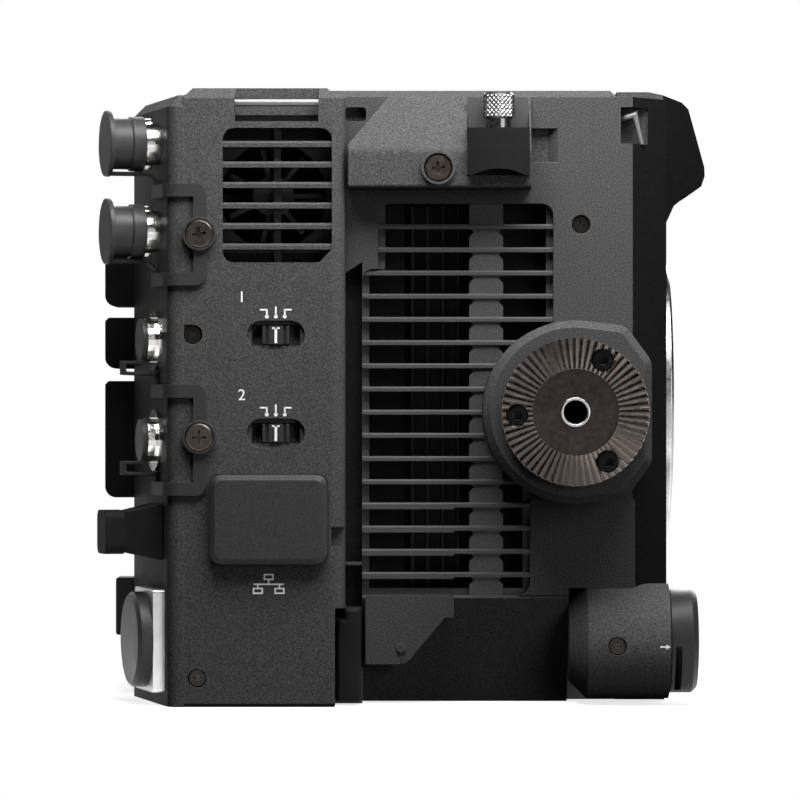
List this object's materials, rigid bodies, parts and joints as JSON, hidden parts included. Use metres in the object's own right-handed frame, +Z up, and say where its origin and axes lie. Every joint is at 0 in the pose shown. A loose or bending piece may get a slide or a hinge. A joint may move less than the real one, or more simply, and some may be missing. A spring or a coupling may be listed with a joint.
{
  "type": "cinema camera",
  "caption": "Compact box-shaped cinema camera body with louvred intake, rosette, capped terminals, screw clamp, bayonet lens mount and open battery bay.",
  "frame": {"origin": "mouth of the small tripod thread in the base, under the lens axis", "axes": "+X towards the lens, -Y towards the grip side with the rosette, +Z up"},
  "size_m": [0.1356, 0.142, 0.135],
  "materials": {
    "core": "matte cast alloy",
    "shell": "fine textured matte charcoal paint",
    "vent_black": "matte",
    "dark_plastic": "satin",
    "cover_plastic": "fine textured matte",
    "cap_plastic": "satin",
    "rubber": "matte",
    "base_metal": "matte black anodised",
    "mount_steel": "satin",
    "nickel": "bright",
    "flange_metal": "satin",
    "jack_metal": "satin",
    "sink_metal": "dull",
    "rosette_metal": "dark brown anodised with bright tooth edges",
    "black_steel": "black oxide",
    "bronze_steel": "dark bronze finish",
    "sensor_glass": "coated",
    "filter_glass": "neutral density"
  },
  "bodies": {
    "camera": {"chassis": "core", "right_rear_panel": "shell", "right_front_panel": "shell", "intake_grille": "vent_black", "lower_side_cover": "shell", "clamp_housing": "shell", "video_clamp": "dark_plastic", "rear_panel": "shell", "front_cover": "shell", "knob_housing": "shell", "top_plate": "shell", "base_plate": "base_metal", "left_panel": "shell", "lens_mount_ring": "mount_steel", "contact_block": "dark_plastic", "sensor_package": "sensor_glass", "heat_sink": "sink_metal", "fan_housing": "dark_plastic", "rosette_base": "shell", "rosette": "rosette_metal", "rosette_screws": "black_steel", "case_screws": "bronze_steel", "ethernet_jack": "jack_metal", "rear_jacks": "jack_metal", "bnc_connectors": "nickel", "xlr_connectors": "nickel", "dc_in_connector": "flange_metal", "tether_brackets": "rubber", "bnc_strap_1": "rubber", "bnc_strap_2": "rubber", "xlr_strap_1": "rubber", "xlr_strap_2": "rubber", "strap_bars": "nickel"},
    "fan": {"fan_rotor": "dark_plastic"},
    "filter_carriage": {"nd_carrier": "dark_plastic", "nd_glass": "filter_glass"},
    "lens_release": {"lens_release_button": "dark_plastic"},
    "lock_pin": {"lens_lock_pin": "mount_steel"},
    "switch_1": {"input_switch_1": "dark_plastic"},
    "switch_2": {"input_switch_2": "dark_plastic"},
    "network_cover": {"ethernet_cover": "cover_plastic"},
    "grip_plug": {"grip_cover": "rubber"},
    "video_out_cover": {"hdmi_cover": "rubber"},
    "microphone_cover": {"mic_cover": "rubber"},
    "serial_cover": {"usb_cover": "rubber"},
    "coax_cap_1": {"bnc_cap_1": "cap_plastic"},
    "coax_cap_2": {"bnc_cap_2": "cap_plastic"},
    "audio_cap_1": {"xlr_cap_1": "cap_plastic"},
    "audio_cap_2": {"xlr_cap_2": "cap_plastic"},
    "power_cap": {"dc_in_cap": "cap_plastic"},
    "sync_cap": {"sync_cover": "rubber"},
    "thumb_screw": {"knurled_screw": "black_steel"},
    "lock_ring": {"front_knob": "dark_plastic"},
    "record_button": {"rec_button": "dark_plastic"},
    "card_door": {"media_door": "cover_plastic"},
    "power_slider": {"power_switch": "dark_plastic"},
    "menu_dial": {"select_dial": "dark_plastic"},
    "button_1": {"assign_button_1": "dark_plastic"},
    "button_2": {"assign_button_2": "dark_plastic"},
    "battery_latch": {"battery_release": "dark_plastic"}
  },
  "joints": [
    {"name": "fan_spin", "type": "hinge", "parent": "camera", "child": "fan", "pos_m": [-0.0277, -0.053, 0.11135], "axis": [0, 1, 0], "continuous": true},
    {"name": "filter_in", "type": "slide", "parent": "camera", "child": "filter_carriage", "axis": [0, 0, -1], "range_m": [0, 0.044]},
    {"name": "lens_release_press", "type": "slide", "parent": "camera", "child": "lens_release", "axis": [-1, 0, 0], "range_m": [0, 0.002], "stiffness_N_per_m": 300},
    {"name": "lock_pin_retract", "type": "slide", "parent": "camera", "child": "lock_pin", "axis": [-1, 0, 0], "range_m": [0, 0.002]},
    {"name": "switch_1_slide", "type": "slide", "parent": "camera", "child": "switch_1", "axis": [1, 0, 0], "range_m": [-0.002, 0.002]},
    {"name": "switch_2_slide", "type": "slide", "parent": "camera", "child": "switch_2", "axis": [1, 0, 0], "range_m": [-0.002, 0.002]},
    {"name": "network_cover_open", "type": "hinge", "parent": "camera", "child": "network_cover", "pos_m": [-0.0157, -0.062, 0.04085], "axis": [0, 0, 1], "range_deg": [0, 88]},
    {"name": "grip_plug_pull", "type": "slide", "parent": "camera", "child": "grip_plug", "axis": [0, -1, 0], "range_m": [0, 0.01]},
    {"name": "video_out_cover_open", "type": "hinge", "parent": "camera", "child": "video_out_cover", "pos_m": [-0.06, -0.025, 0.058], "axis": [0, 0, 1], "range_deg": [0, 90]},
    {"name": "microphone_cover_open", "type": "hinge", "parent": "camera", "child": "microphone_cover", "pos_m": [-0.06, -0.025, 0.0797], "axis": [0, 0, 1], "range_deg": [0, 90]},
    {"name": "serial_cover_open", "type": "hinge", "parent": "camera", "child": "serial_cover", "pos_m": [-0.06, -0.025, 0.0955], "axis": [0, 0, 1], "range_deg": [0, 90]},
    {"name": "coax_cap_1_pull", "type": "slide", "parent": "camera", "child": "coax_cap_1", "axis": [-0.9659, -0.2588, 0], "range_m": [0, 0.012], "deforming": ["bnc_strap_1"]},
    {"name": "coax_cap_2_pull", "type": "slide", "parent": "camera", "child": "coax_cap_2", "axis": [-0.9659, -0.2588, 0], "range_m": [0, 0.012], "deforming": ["bnc_strap_2"]},
    {"name": "audio_cap_1_pull", "type": "slide", "parent": "camera", "child": "audio_cap_1", "axis": [-0.9659, -0.2588, 0], "range_m": [0, 0.012], "deforming": ["xlr_strap_1"]},
    {"name": "audio_cap_2_pull", "type": "slide", "parent": "camera", "child": "audio_cap_2", "axis": [-0.9659, -0.2588, 0], "range_m": [0, 0.012], "deforming": ["xlr_strap_2"]},
    {"name": "power_cap_open", "type": "hinge", "parent": "camera", "child": "power_cap", "pos_m": [-0.05641, -0.04961, 0.0037], "axis": [0.2588, -0.9659, 0], "range_deg": [0, 90]},
    {"name": "sync_cap_pull", "type": "slide", "parent": "camera", "child": "sync_cap", "axis": [-0.9659, -0.2588, 0], "range_m": [0, 0.012]},
    {"name": "thumb_screw_turn", "type": "hinge", "parent": "camera", "child": "thumb_screw", "pos_m": [0.0215, -0.0602, 0.12], "axis": [0, 0, 1], "continuous": true},
    {"name": "lock_ring_turn", "type": "hinge", "parent": "camera", "child": "lock_ring", "pos_m": [0.062, -0.0494, 0.01375], "axis": [1, 0, 0], "range_deg": [0, 45]},
    {"name": "record_press", "type": "slide", "parent": "camera", "child": "record_button", "axis": [-1, 0, 0], "range_m": [0, 0.0012], "stiffness_N_per_m": 400},
    {"name": "card_door_open", "type": "hinge", "parent": "camera", "child": "card_door", "pos_m": [-0.042, 0.062, 0.038], "axis": [0, 0, 1], "range_deg": [0, 100]},
    {"name": "power_slide", "type": "slide", "parent": "camera", "child": "power_slider", "axis": [1, 0, 0], "range_m": [0, 0.006]},
    {"name": "menu_dial_turn", "type": "hinge", "parent": "camera", "child": "menu_dial", "pos_m": [0.022, 0.064, 0.096], "axis": [0, 1, 0], "continuous": true},
    {"name": "button_1_press", "type": "slide", "parent": "camera", "child": "button_1", "axis": [0, -1, 0], "range_m": [0, 0.0007], "stiffness_N_per_m": 400},
    {"name": "button_2_press", "type": "slide", "parent": "camera", "child": "button_2", "axis": [0, -1, 0], "range_m": [0, 0.0007], "stiffness_N_per_m": 400},
    {"name": "battery_latch_slide", "type": "slide", "parent": "camera", "child": "battery_latch", "axis": [0, 0, -1], "range_m": [0, 0.003], "stiffness_N_per_m": 300}
  ],
  "couplings": [
    {"joint": "lock_pin_retract", "follows": "lens_release_press", "ratio": 1}
  ]
}
